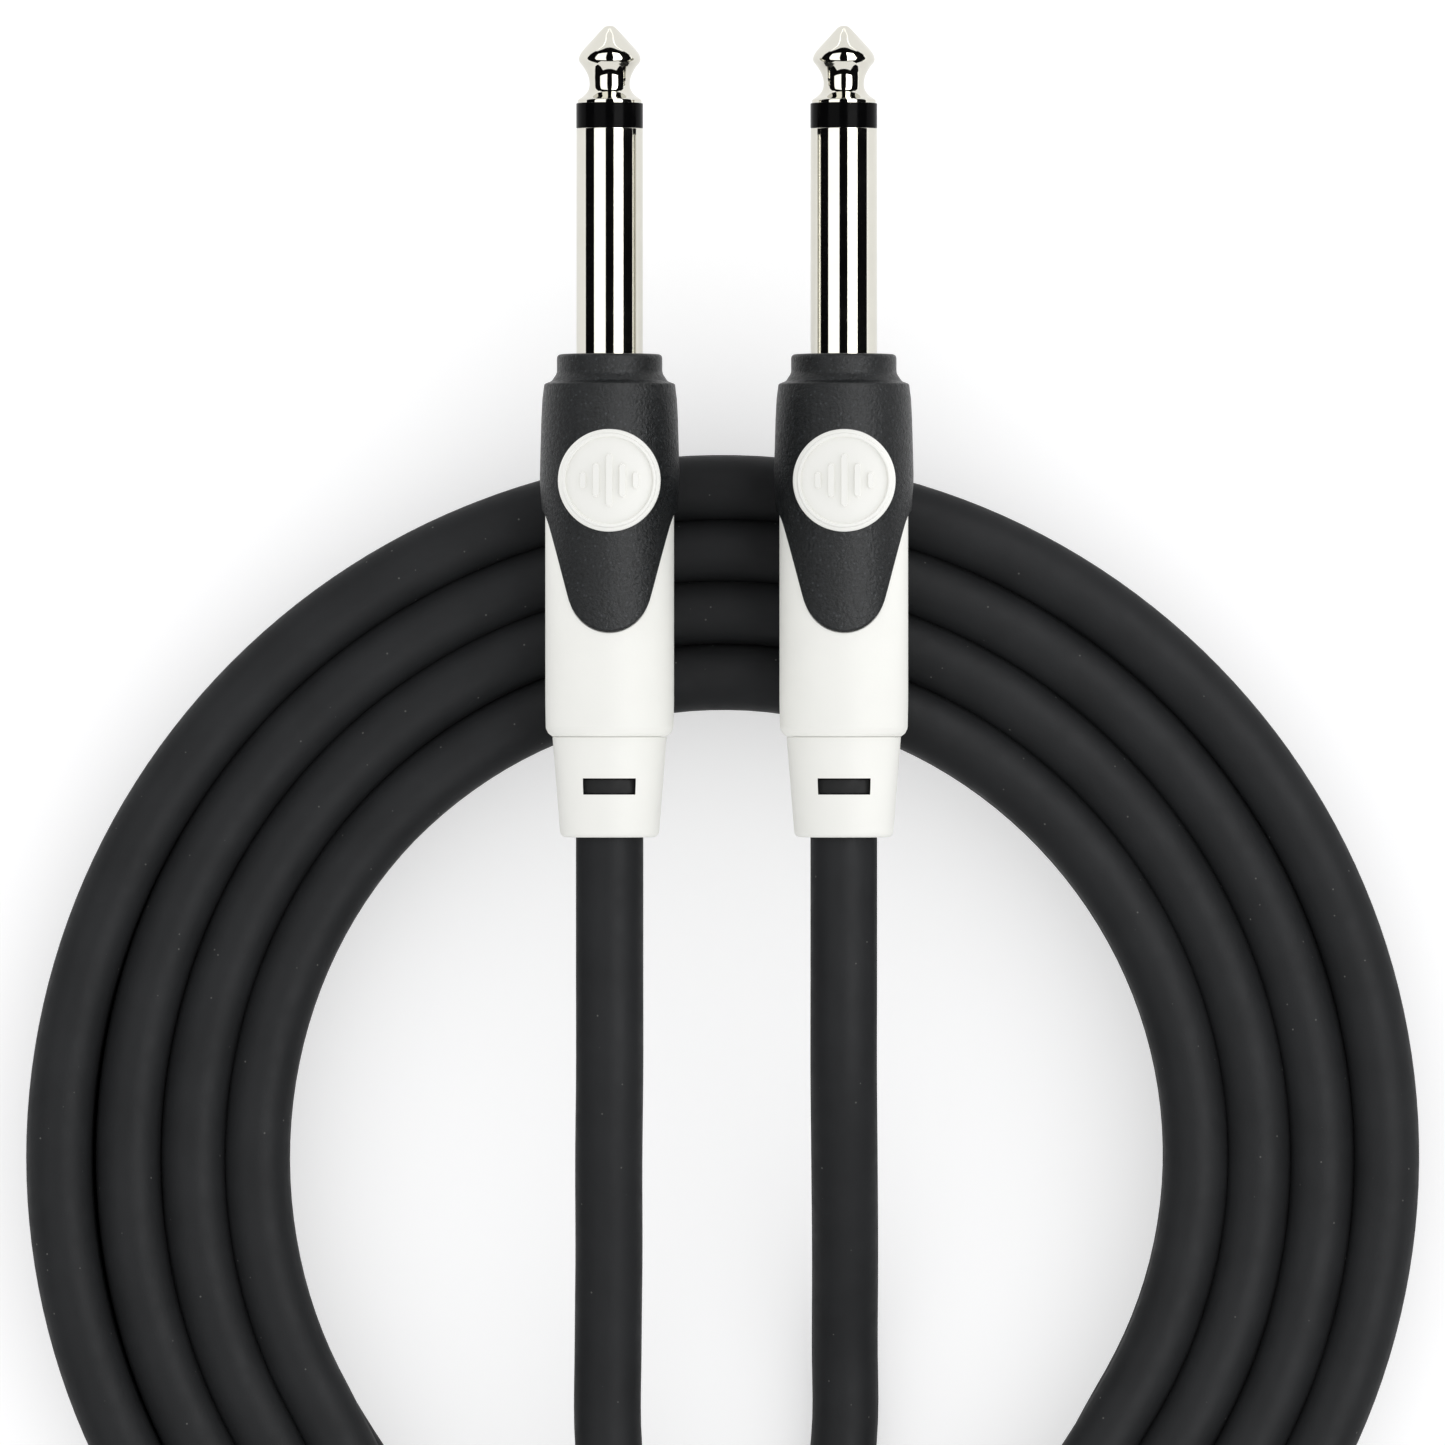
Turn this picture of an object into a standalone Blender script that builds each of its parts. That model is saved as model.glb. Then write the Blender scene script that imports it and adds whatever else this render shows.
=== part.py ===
"""Instrument cable, coiled, with a straight quarter-inch plug on each end.

The cable lies on the plane z = 0. The two plugs rest side by side on the coil and point along +Y.
Lengths are in millimetres in the constants and are turned into metres where vertices are made.
A plug's pieces are drawn along their own axis: t is the distance behind the tip's apex, r the
distance from the axis, and the phase is the angle round the axis, 0 at the top and 90 at +X.
"""

from math import ceil, cos, pi, radians, sin, sqrt

import bmesh
import bpy
from mathutils import Vector, geometry

MM = 0.001

# Cord
CORD_D = 6.4
CORD_R = CORD_D / 2
PITCH = 6.0
OUTER_SLOT = 63.25
INNER_SLOT = OUTER_SLOT - 3 * PITCH
COIL_HEIGHT = 2 * CORD_D
CLEARANCE = 0.3

# Where the turns cross from layer to layer the bundle bulges
BOTTOM_BULGE = 7.0
TOP_BULGE = 0.7
CROSSOVER_BULGE = 5.54
CROSSOVER_HALF_ANGLE = 60.0
EMPTY_HALF_ANGLE = 31.0

# Tie: a strap round the bundle at the bottom of the coil
TIE_WIDTH = 12.0
TIE_THICKNESS = 1.0
TIE_CORNER = 2.0
TIE_INNER_Y = OUTER_SLOT - 2 * PITCH - CORD_R + BOTTOM_BULGE - 3 * CLEARANCE
TIE_OUTER_Y = OUTER_SLOT + CORD_R + BOTTOM_BULGE + CROSSOVER_BULGE + CLEARANCE
TIE_LIFT = TIE_THICKNESS + CLEARANCE

# Plugs
PLUG_X = 11.1
PLUG_AXIS_Z = 19.8
APEX_FROM_COIL = 107.6
SHANK_R = 3.175
ROD_R = 1.2
SLEEVE_START = 9.8
CAP_START = 31.15
CAP_FLAT_R = 4.6
SHELL_START = 40.5
SHELL_END = 67.4
SHELL_R = 6.12
SHELL_BORE_R = 5.0
SHELL_UNDER_CAP_R = 5.4
CAP_BORE_R = 5.65
TONGUE_R = 6.4
COLLAR_END = 76.95
GROMMET_START = 63.5
CORD_SPLIT = 66.0

# Outline of the cap's tongue, as half-width against t
TONGUE_TIP_R = 4.03
TONGUE_TIP_CENTRE = 53.47
TONGUE_FLANK_HALF_WIDTH = 3.9
TONGUE_FLANK_END = 54.49
TONGUE_FLARE = 0.262
CAP_VALLEY = 45.9
VALLEY_SOFTNESS = 1.0

# Badge
BADGE_T = 43.2
BADGE_R = 4.85
BADGE_CREST = 6.88
BADGE_CROWN_R = 11.0
BADGE_FALL = 0.15
BADGE_UNDERSIDE_R = 6.2
POCKET_R = 5.1
POCKET_FLOOR_R = 5.95

# Window in the collar
WINDOW_T = 72.1
WINDOW_HALF_WIDTH = 2.49
WINDOW_HALF_LENGTH = 0.77
BOSS_HALF_WIDTH = 2.2
BOSS_HALF_LENGTH = 0.52
BOSS_HEIGHT = 4.3

# Sides of the turned pieces
SIDES = 24
SHELL_SIDES = 36
COIL_STATIONS = 90

# The origin is under the middle of the plugs and the tie
COIL_X = -0.4
COIL_Y = -(APEX_FROM_COIL - TIE_OUTER_Y - TIE_THICKNESS) / 2
APEX_Y = COIL_Y + APEX_FROM_COIL

# Routes of the two leads: x, distance ahead of the coil's centre, height of the cord's axis
LEFT_ROUTE = [
    (-11.1, 41.3, 19.8),
    (-11.1, 35.0, 19.8),
    (-11.1, 29.0, 19.8),
    (-11.1, 23.0, 19.8),
    (-11.1, 17.0, 19.8),
    (-11.1, 8.5, 19.3),
    (-11.2, 0.0, 17.4),
    (-11.2, -9.0, 14.8),
    (-11.3, -18.0, 12.2),
    (-11.3, -26.8, 10.7),
    (-10.4, -33.6, 10.1),
    (-7.7, -39.2, 10.0),
    (-3.2, -43.9, 10.0),
    (1.8, -46.8, 9.9),
    (6.8, -48.2, 9.7),
    (10.9, -48.4, 9.7),
]
RIGHT_ROUTE = [
    (11.1, 41.3, 19.8),
    (11.1, 35.0, 19.8),
    (11.1, 29.0, 19.8),
    (11.1, 23.0, 19.8),
    (11.1, 17.0, 19.8),
    (11.1, 8.5, 18.7),
    (11.2, 0.0, 14.8),
    (11.3, -9.0, 9.7),
    (11.3, -18.0, 5.3),
    (11.3, -26.3, 3.5),
    (10.3, -33.0, 3.3),
    (7.5, -38.8, 3.3),
    (2.8, -43.7, 3.3),
    (-2.4, -46.8, 3.3),
    (-7.6, -48.2, 3.3),
    (-11.8, -48.4, 3.3),
]
LEAD_STEP = 2 * CORD_D

MATERIALS = {
    "jacket": ((0.026, 0.028, 0.030), 0.62, 0.0),
    "soft_black": ((0.030, 0.034, 0.038), 0.55, 0.0),
    "white_plastic": ((0.86, 0.86, 0.83), 0.4, 0.0),
    "nickel": ((0.70, 0.67, 0.61), 0.16, 1.0),
    "gloss_black": ((0.010, 0.010, 0.011), 0.2, 0.0),
    "clear_plastic": ((0.75, 0.74, 0.68), 0.4, 0.0),
    "steel": ((0.60, 0.59, 0.56), 0.32, 1.0),
    "copper": ((0.72, 0.38, 0.22), 0.35, 1.0),
    "strap": ((0.018, 0.019, 0.020), 0.9, 0.0),
}


def remove_everything():
    for obj in list(bpy.data.objects):
        bpy.data.objects.remove(obj, do_unlink=True)


def material_for(node, look):
    colour, roughness, metallic = MATERIALS[look]
    material = bpy.data.materials.new(f"{node}_{look}")
    material.use_nodes = True
    shader = material.node_tree.nodes["Principled BSDF"]
    shader.inputs["Base Color"].default_value = (*colour, 1.0)
    shader.inputs["Roughness"].default_value = roughness
    shader.inputs["Metallic"].default_value = metallic
    return material


def add_node(node, data, look, parent=None):
    obj = bpy.data.objects.new(node, data)
    bpy.context.scene.collection.objects.link(obj)
    obj.parent = parent
    data.materials.append(material_for(node, look))
    return obj


def mesh_from(node, points, faces):
    """A closed mesh from points in millimetres, with its faces turned outward."""
    shape = bmesh.new()
    vertices = [shape.verts.new(Vector(point) * MM) for point in points]
    for face in faces:
        shape.faces.new([vertices[i] for i in face])
    bmesh.ops.recalc_face_normals(shape, faces=shape.faces)
    mesh = bpy.data.meshes.new(node)
    shape.to_mesh(mesh)
    shape.free()
    mesh.shade_smooth()
    mesh.set_sharp_from_angle(angle=radians(35))
    return mesh


def on_plug(t, r, phase):
    """A point of a plug's piece, from its own axis."""
    return (r * sin(radians(phase)), -t, r * cos(radians(phase)))


def turned(node, outline, sides):
    """Turn an outline into a mesh. It gives (t, r) pairs for a phase, in order round the section.

    An outline that starts and ends at r = 0 makes a solid piece, any other makes a ring.
    """
    phases = [360 * i / sides for i in range(sides)]
    outlines = [outline(phase) for phase in phases]
    count = len(outlines[0])
    solid = outlines[0][0][1] == 0
    points = []
    faces = []
    rows = []
    for k in range(count):
        on_axis = solid and k in (0, count - 1)
        row = []
        for i, phase in enumerate(phases):
            if i == 0 or not on_axis:
                points.append(on_plug(*outlines[i][k], phase))
            row.append(len(points) - 1)
        rows.append(row)
    pairs = zip(rows, rows[1:]) if solid else zip(rows, rows[1:] + rows[:1])
    for low, high in pairs:
        for i in range(sides):
            j = (i + 1) % sides
            corners = [low[i], low[j], high[j], high[i]]
            faces.append(list(dict.fromkeys(corners)))
    return mesh_from(node, points, faces)


def turned_plain(node, outline, sides=SIDES):
    return turned(node, lambda phase: outline, sides)


def tube_outline(start, end, inner, outer):
    return [(start, inner), (start, outer), (end, outer), (end, inner)]


def rod_outline(start, end, r):
    return [(start, 0), (start, r), (end, r), (end, 0)]


def with_turning_steps(stations, largest=25):
    """Add stations where the half angle changes much, so that the sheet's edges stay round."""
    fine = [stations[0]]
    for start, end in zip(stations, stations[1:]):
        count = max(1, ceil(abs(end[3] - start[3]) / largest))
        for k in range(1, count + 1):
            fine.append(tuple(a + (b - a) * k / count for a, b in zip(start, end)))
    return fine


def bent_strip(node, stations, middle_phase, steps=8):
    """A sheet-metal piece along the axis. Each station is (t, inner r, outer r, half angle)."""
    stations = with_turning_steps(stations)
    points = []
    faces = []
    width = steps + 1
    ring = 2 * width
    for t, inner, outer, half in stations:
        phases = [middle_phase - half + 2 * half * i / steps for i in range(width)]
        points += [on_plug(t, outer, phase) for phase in phases]
        points += [on_plug(t, inner, phase) for phase in reversed(phases)]
    for s in range(len(stations) - 1):
        for i in range(ring):
            j = (i + 1) % ring
            faces.append([s * ring + i, s * ring + j, (s + 1) * ring + j, (s + 1) * ring + i])
    last = (len(stations) - 1) * ring
    for i in range(steps):
        near = [i, i + 1, ring - 2 - i, ring - 1 - i]
        faces.append(near)
        faces.append([last + k for k in near])
    return mesh_from(node, points, faces)


def disc_block(node, radius, top, bottom, rings=3, sides=SIDES):
    """A round block round a vertical axis. top and bottom give heights from x and t."""
    spots = [(0.0, 0.0)]
    for k in range(1, rings + 1):
        for i in range(sides):
            turn = 2 * pi * i / sides
            spots.append((radius * k / rings * sin(turn), radius * k / rings * cos(turn)))
    points = [(x, -BADGE_T - s, top(x, s)) for x, s in spots]
    points += [(x, -BADGE_T - s, bottom(x, s)) for x, s in spots]
    shift = len(spots)
    faces = []
    for i in range(sides):
        j = (i + 1) % sides
        for base in (0, shift):
            faces.append([base, base + 1 + i, base + 1 + j])
            for k in range(rings - 1):
                a = base + 1 + k * sides
                faces.append([a + i, a + j, a + sides + j, a + sides + i])
        rim = 1 + (rings - 1) * sides
        faces.append([rim + i, rim + j, shift + rim + j, shift + rim + i])
    return mesh_from(node, points, faces)


def box_mesh(node, low, high):
    corners = [(x, y, z) for x in (low[0], high[0]) for y in (low[1], high[1]) for z in (low[2], high[2])]
    faces = [[0, 1, 3, 2], [4, 5, 7, 6], [0, 1, 5, 4], [2, 3, 7, 6], [0, 2, 6, 4], [1, 3, 7, 5]]
    return mesh_from(node, corners, faces)


def helper(name, mesh, parent):
    """A cutter or a joining block, which isn't a piece itself."""
    obj = bpy.data.objects.new(name, mesh)
    bpy.context.scene.collection.objects.link(obj)
    obj.parent = parent
    obj.hide_render = True
    obj.display_type = "WIRE"
    return obj


def add_boolean(obj, other, operation):
    modifier = obj.modifiers.new(operation.lower(), "BOOLEAN")
    modifier.operation = operation
    modifier.solver = "EXACT"
    modifier.object = other


def smooth_points(route, step):
    """Points a given step apart on a smooth curve through a route's own points."""
    knots = [Vector(p) for p in route]
    knots = [2 * knots[0] - knots[1], *knots, 2 * knots[-1] - knots[-2]]
    fine = []
    for i in range(1, len(knots) - 2):
        before, start, end, after = knots[i - 1 : i + 3]
        reach = (end - start).length / 3
        lead_in = start + (end - before).normalized() * reach
        lead_out = end - (after - start).normalized() * reach
        fine += geometry.interpolate_bezier(start, lead_in, lead_out, end, 17)[:-1]
    fine.append(knots[-2])
    lengths = [0.0]
    for a, b in zip(fine, fine[1:]):
        lengths.append(lengths[-1] + (b - a).length)
    count = round(lengths[-1] / step)
    points = []
    at = 0
    for k in range(count + 1):
        target = lengths[-1] * k / count
        while at < len(fine) - 2 and lengths[at + 1] < target:
            at += 1
        share = (target - lengths[at]) / (lengths[at + 1] - lengths[at])
        points.append(fine[at].lerp(fine[at + 1], share))
    return points


def cord_tube(node, points, diameter, look, resolution, parent=None):
    """A round tube along points in millimetres."""
    curve = bpy.data.curves.new(node, "CURVE")
    curve.dimensions = "3D"
    curve.bevel_depth = diameter / 2 * MM
    curve.bevel_resolution = resolution
    curve.use_fill_caps = True
    spline = curve.splines.new("POLY")
    spline.points.add(len(points) - 1)
    for spot, point in zip(spline.points, points):
        spot.co = (*(Vector(point) * MM), 1.0)
    return add_node(node, curve, look, parent)


# Plug pieces


def tip_outline():
    head = [(0.0, 0.0), (0.1, 0.48), (1.2, 1.56), (2.4, 2.62), (2.95, 2.93), (3.45, 2.9)]
    neck = [(4.1, 2.4), (4.8, 2.04), (5.5, 1.94), (6.1, 2.1), (6.55, 2.48), (6.9, 2.95), (7.35, 3.13)]
    rod = [(7.35, ROD_R), (41.5, ROD_R), (41.5, 0.0)]
    return head + neck + rod


def sleeve_outline():
    bore = 1.95
    shank = [(SLEEVE_START, bore), (SLEEVE_START, SHANK_R - 0.1), (SLEEVE_START + 0.1, SHANK_R)]
    flange = [(33.1, SHANK_R), (33.1, 4.5), (34.6, 4.5), (34.6, 3.0)]
    return shank + flange + [(37.2, 3.0), (37.2, bore)]


def tongue_end(phase, r=TONGUE_R):
    """How far back the cap reaches at a phase: long tongues above and below, valleys at the sides."""
    half_width = r * abs(sin(radians(phase)))
    if half_width < TONGUE_FLANK_HALF_WIDTH:
        return TONGUE_TIP_CENTRE + sqrt(TONGUE_TIP_R**2 - half_width**2)
    flank = TONGUE_FLANK_END - (half_width - TONGUE_FLANK_HALF_WIDTH) / TONGUE_FLARE
    return (flank + CAP_VALLEY + sqrt((flank - CAP_VALLEY) ** 2 + VALLEY_SOFTNESS)) / 2


def cap_outline(phase):
    end = tongue_end(phase)
    front = [(CAP_START, 3.4), (CAP_START, CAP_FLAT_R), (CAP_START + 0.45, 5.0), (32.8, 5.0)]
    flare = [(33.6, 5.5), (34.0, 6.12), (35.4, 6.37), (37.3, 6.47), (40.5, 6.56), (43.2, 6.62)]
    reach = end - 43.2
    skirt = [(43.2 + reach * 0.5, 6.53), (end - 0.3, 6.42), (end, 6.15)]
    inside = [(end, CAP_BORE_R), (40.2, CAP_BORE_R), (40.2, 4.75), (32.8, 4.75), (32.8, 3.4)]
    return front + flare + skirt + inside


def shell_outline(phase):
    step = tongue_end(phase) + CLEARANCE
    under = [(SHELL_START, SHELL_BORE_R), (SHELL_START, SHELL_UNDER_CAP_R), (step, SHELL_UNDER_CAP_R)]
    outside = [(step, SHELL_R), (66.2, SHELL_R - 0.04), (67.1, SHELL_R - 0.3), (SHELL_END, SHELL_R - 0.6)]
    return under + outside + [(SHELL_END, SHELL_BORE_R)]


def collar_outline():
    spigot = [(62.5, 4.1), (62.5, 4.85), (67.6, 4.85), (67.6, 5.42)]
    outside = [(76.15, 4.72), (76.7, 4.45), (COLLAR_END, 4.0)]
    return spigot + outside + [(COLLAR_END, 3.4), (75.8, 3.4), (75.8, 4.1)]


def crown(x, s):
    """Height of the badge's top: rounder across the plug than along it."""
    return BADGE_CREST - BADGE_CROWN_R + sqrt(BADGE_CROWN_R**2 - x * x) - BADGE_FALL * (s / BADGE_R) ** 2


def add_contacts(side, plug):
    add_node(f"{side}_tip", turned_plain(f"{side}_tip", tip_outline()), "nickel", plug)
    ring = tube_outline(7.45, 9.7, 1.35, SHANK_R)
    add_node(f"{side}_tip_insulator", turned_plain(f"{side}_tip_insulator", ring), "gloss_black", plug)
    add_node(f"{side}_sleeve", turned_plain(f"{side}_sleeve", sleeve_outline()), "nickel", plug)
    tube = tube_outline(9.9, 37.0, 1.35, 1.8)
    add_node(f"{side}_inner_insulator", turned_plain(f"{side}_inner_insulator", tube), "clear_plastic", plug)
    washer = tube_outline(37.4, 38.6, 1.35, 3.4)
    add_node(f"{side}_rear_insulator", turned_plain(f"{side}_rear_insulator", washer), "gloss_black", plug)


def add_terminals(side, plug):
    lug = [(38.8, 1.35, 2.6, 150), (39.5, 1.35, 2.6, 150), (39.9, 1.5, 1.9, 35), (43.8, 1.5, 1.9, 35)]
    lug += [(45.0, 0.7, 1.1, 130), (48.0, 0.7, 1.1, 130)]
    add_node(f"{side}_tip_lug", bent_strip(f"{side}_tip_lug", lug, 0), "steel", plug)
    clamp = [(35.2, 3.3, 4.3, 150), (36.2, 3.3, 4.3, 150), (37.0, 3.9, 4.3, 22), (56.0, 3.9, 4.3, 22)]
    clamp += [(57.4, 3.5, 3.9, 140), (61.5, 3.5, 3.9, 140)]
    add_node(f"{side}_ground_clamp", bent_strip(f"{side}_ground_clamp", clamp, 180), "steel", plug)


def add_cord_end(side, plug):
    wire = turned_plain(f"{side}_centre_conductor", rod_outline(44.6, 55.0, 0.5), 12)
    add_node(f"{side}_centre_conductor", wire, "copper", plug)
    insulation = turned_plain(f"{side}_core_insulation", tube_outline(49.0, 56.4, 0.65, 1.45), 16)
    add_node(f"{side}_core_insulation", insulation, "clear_plastic", plug)
    route = [(0, -56.3, -2.35), (0, -54.0, -2.5), (0, -51.0, -2.8), (0, -47.5, -3.0)]
    cord_tube(f"{side}_shield_pigtail", smooth_points(route, 2.0), 1.2, "copper", 2, plug)
    jacket = turned_plain(f"{side}_jacket_end", rod_outline(56.8, CORD_SPLIT, CORD_R))
    add_node(f"{side}_jacket_end", jacket, "jacket", plug)


def add_housing(side, plug):
    cap = add_node(f"{side}_cap", turned(f"{side}_cap", cap_outline, SHELL_SIDES), "soft_black", plug)
    pocket = disc_block(
        f"{side}_pocket_cutter",
        POCKET_R,
        lambda x, s: 9.0,
        lambda x, s: sqrt(POCKET_FLOOR_R**2 - x * x),
    )
    add_boolean(cap, helper(f"{side}_pocket_cutter", pocket, plug), "DIFFERENCE")
    shell = turned(f"{side}_body_shell", shell_outline, SHELL_SIDES)
    add_node(f"{side}_body_shell", shell, "white_plastic", plug)
    badge = disc_block(f"{side}_badge", BADGE_R, crown, lambda x, s: sqrt(BADGE_UNDERSIDE_R**2 - x * x))
    add_node(f"{side}_badge", badge, "white_plastic", plug)


def add_tail(side, plug):
    """The collar and its grommet, which slide back along the cord together."""
    tail = turned_plain(f"{side}_collar", collar_outline())
    collar = add_node(f"{side}_collar", tail, "white_plastic", plug)
    low = (-WINDOW_HALF_WIDTH, -WINDOW_T - WINDOW_HALF_LENGTH, -8)
    high = (WINDOW_HALF_WIDTH, -WINDOW_T + WINDOW_HALF_LENGTH, 8)
    window = helper(f"{side}_window_cutter", box_mesh(f"{side}_window_cutter", low, high), plug)
    add_boolean(collar, window, "DIFFERENCE")

    bush = turned_plain(f"{side}_grommet", rod_outline(GROMMET_START, 75.5, 3.8))
    grommet = add_node(f"{side}_grommet", bush, "jacket", plug)
    low = (-BOSS_HALF_WIDTH, -WINDOW_T - BOSS_HALF_LENGTH, -BOSS_HEIGHT)
    high = (BOSS_HALF_WIDTH, -WINDOW_T + BOSS_HALF_LENGTH, BOSS_HEIGHT)
    boss = helper(f"{side}_boss_block", box_mesh(f"{side}_boss_block", low, high), plug)
    add_boolean(grommet, boss, "UNION")
    bore = turned_plain(f"{side}_bore_cutter", rod_outline(GROMMET_START - 1, 76.5, 3.4))
    add_boolean(grommet, helper(f"{side}_bore_cutter", bore, plug), "DIFFERENCE")


def add_plug(side, x):
    plug = bpy.data.objects.new(f"{side}_plug", None)
    bpy.context.scene.collection.objects.link(plug)
    plug.location = (x * MM, APEX_Y * MM, PLUG_AXIS_Z * MM)
    add_contacts(side, plug)
    add_terminals(side, plug)
    add_cord_end(side, plug)
    add_housing(side, plug)
    add_tail(side, plug)


# Cord and tie


def hump(angle, middle, half):
    """A smooth bump: 1 at the middle angle and 0 from half an angle away, in degrees."""
    away = abs((angle - middle + 180) % 360 - 180)
    return 0.5 + 0.5 * cos(pi * away / half) if away < half else 0.0


def coil_section(angle):
    """The coil's section at an angle round its centre: inner and outer radius, low and high."""
    bulge = BOTTOM_BULGE * hump(angle, 270, 60) + TOP_BULGE * max(0, sin(radians(angle))) ** 4
    inner = INNER_SLOT - CORD_R + bulge + PITCH * min(1.0, 1.6 * hump(angle, 270, EMPTY_HALF_ANGLE))
    crossover = CROSSOVER_BULGE * hump(angle, 270, CROSSOVER_HALF_ANGLE)
    outer = OUTER_SLOT + CORD_R + bulge + crossover
    lift = TIE_LIFT * min(1.0, 2.2 * hump(angle, 270, 16))
    return inner, outer, lift, COIL_HEIGHT + lift * 0.8


def add_coil():
    points = []
    faces = []
    edge = 1.2
    for k in range(COIL_STATIONS):
        angle = 360 * k / COIL_STATIONS
        inner, outer, low, high = coil_section(angle)
        section = [(inner + edge, low), (outer - edge, low), (outer, low + edge), (outer, high - edge)]
        section += [(outer - edge, high), (inner + edge, high), (inner, high - edge), (inner, low + edge)]
        for r, z in section:
            points.append((COIL_X + r * cos(radians(angle)), COIL_Y + r * sin(radians(angle)), z))
    ring = 8
    for k in range(COIL_STATIONS):
        following = (k + 1) % COIL_STATIONS
        for i in range(ring):
            j = (i + 1) % ring
            faces.append([k * ring + i, k * ring + j, following * ring + j, following * ring + i])
    add_node("coil", mesh_from("coil", points, faces), "jacket")


def add_lead(node, route):
    placed = [(x, COIL_Y + y, z) for x, y, z in route]
    placed[0] = (placed[0][0], APEX_Y - CORD_SPLIT - CLEARANCE, placed[0][2])
    cord_tube(node, smooth_points(placed, LEAD_STEP), CORD_D, "jacket", 3)


def strap_loop(grow):
    """The strap's outline in the plane x = 0, as (y, z): a rectangle with round corners."""
    low_y = COIL_Y - TIE_OUTER_Y - grow
    high_y = COIL_Y - TIE_INNER_Y + grow
    low_z = TIE_THICKNESS - grow
    high_z = COIL_HEIGHT + 2 * TIE_LIFT - TIE_THICKNESS + grow
    r = TIE_CORNER + grow
    corners = [(high_y, high_z, 0), (low_y, high_z, 90), (low_y, low_z, 180), (high_y, low_z, 270)]
    outline = []
    for y, z, start in corners:
        centre_y = y - r if y == high_y else y + r
        centre_z = z - r if z == high_z else z + r
        for i in range(6):
            turn = radians(start + 18 * i)
            outline.append((centre_y + r * cos(turn), centre_z + r * sin(turn)))
    return outline


def add_tie():
    loops = [strap_loop(0.0), strap_loop(TIE_THICKNESS)]
    points = []
    for x in (-TIE_WIDTH / 2, TIE_WIDTH / 2):
        for loop in loops:
            points += [(x, y, z) for y, z in loop]
    count = len(loops[0])
    inner_left, outer_left, inner_right, outer_right = (k * count for k in range(4))
    strips = [
        (inner_left, outer_left),
        (inner_right, outer_right),
        (inner_left, inner_right),
        (outer_left, outer_right),
    ]
    faces = []
    for i in range(count):
        j = (i + 1) % count
        for a, b in strips:
            faces.append([a + i, a + j, b + j, b + i])
    add_node("tie", mesh_from("tie", points, faces), "strap")


def main():
    remove_everything()
    add_coil()
    add_lead("lead_left", LEFT_ROUTE)
    add_lead("lead_right", RIGHT_ROUTE)
    add_tie()
    add_plug("left", -PLUG_X)
    add_plug("right", PLUG_X)


main()
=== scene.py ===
"""Looks of the coiled instrument cable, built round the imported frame.

Lengths are in millimetres in the constants and in the outlines, unless a comment says metres, and
are turned into metres where vertices are made. A plug's pieces are drawn along their own axis: t is
the distance behind the tip's apex, r the distance from the axis, and the phase is the angle round
it, 0 at the top.
"""

from math import asin, ceil, copysign, cos, degrees, pi, radians, sin, sqrt, tan

import bmesh
import bpy
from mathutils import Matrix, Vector, geometry


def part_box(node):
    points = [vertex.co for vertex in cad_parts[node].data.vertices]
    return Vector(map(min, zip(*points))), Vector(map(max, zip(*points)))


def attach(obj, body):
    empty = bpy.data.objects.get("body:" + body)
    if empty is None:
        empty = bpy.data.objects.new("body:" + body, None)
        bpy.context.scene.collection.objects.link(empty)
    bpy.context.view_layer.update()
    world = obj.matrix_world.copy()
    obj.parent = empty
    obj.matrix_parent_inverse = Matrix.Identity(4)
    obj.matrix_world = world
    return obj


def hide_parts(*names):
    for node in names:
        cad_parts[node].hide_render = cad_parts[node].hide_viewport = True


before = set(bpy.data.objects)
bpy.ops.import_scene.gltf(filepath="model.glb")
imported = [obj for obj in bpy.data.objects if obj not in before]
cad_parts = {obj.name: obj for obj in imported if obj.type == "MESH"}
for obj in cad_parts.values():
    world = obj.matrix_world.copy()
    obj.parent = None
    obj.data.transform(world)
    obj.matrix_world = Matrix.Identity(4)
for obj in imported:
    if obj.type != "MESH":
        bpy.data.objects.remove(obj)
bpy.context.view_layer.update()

MM = 0.001
ROOT = "cable"

# Where both apexes and axes lie, from the left tip's box, and the coil's centre behind them
TIP_LOW, TIP_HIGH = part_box("left_tip")
APEX_Y = TIP_HIGH.y / MM
PLUG_AXIS_Z = (TIP_LOW.z + TIP_HIGH.z) / 2 / MM
APEX_FROM_COIL = 107.6
COIL_X = -0.4
COIL_Y = APEX_Y - APEX_FROM_COIL

# Cord and coil, the same as in the CAD model
CORD_D = 6.4
CORD_R = CORD_D / 2
PITCH = 6.0
OUTER_SLOT = 63.25
INNER_SLOT = OUTER_SLOT - 3 * PITCH
CLEARANCE = 0.3
BOTTOM_BULGE = 7.0
BULGE_HALF_ANGLE = 60
TOP_BULGE = 0.7
TIE_LIFT = 1.3
TIE_HALF_ANGLE = 16
TIE_STEEPNESS = 2.2
CORD_SPLIT = 66.0

# How the turns run: out through the top layer, down round the outside, in through the lower layer.
# Angles are in degrees round the coil's centre from +X, counted on from turn to turn.
SHIFT_SPAN = 60
OUTWARD_SHIFTS = (210, 570, 930)
ROLL_START = 1290
ROLL_ANGLE = 60
INWARD_SHIFTS = (1710, 2070, 2430)
COIL_ENTRY = -68
COIL_EXIT = 2768
TURN_STEP = 5
CORD_STEP = 2.0

# On the left the outermost turn stands a little apart from the others
LEFT_GAP = 0.7
LEFT_GAP_HALF_ANGLE = 55

# How the turns drift from a true circle: size, cycles in a turn, start in degrees
DRIFTS = ((0.09, 1.73, 20), (0.05, 3.31, 0))

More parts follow.
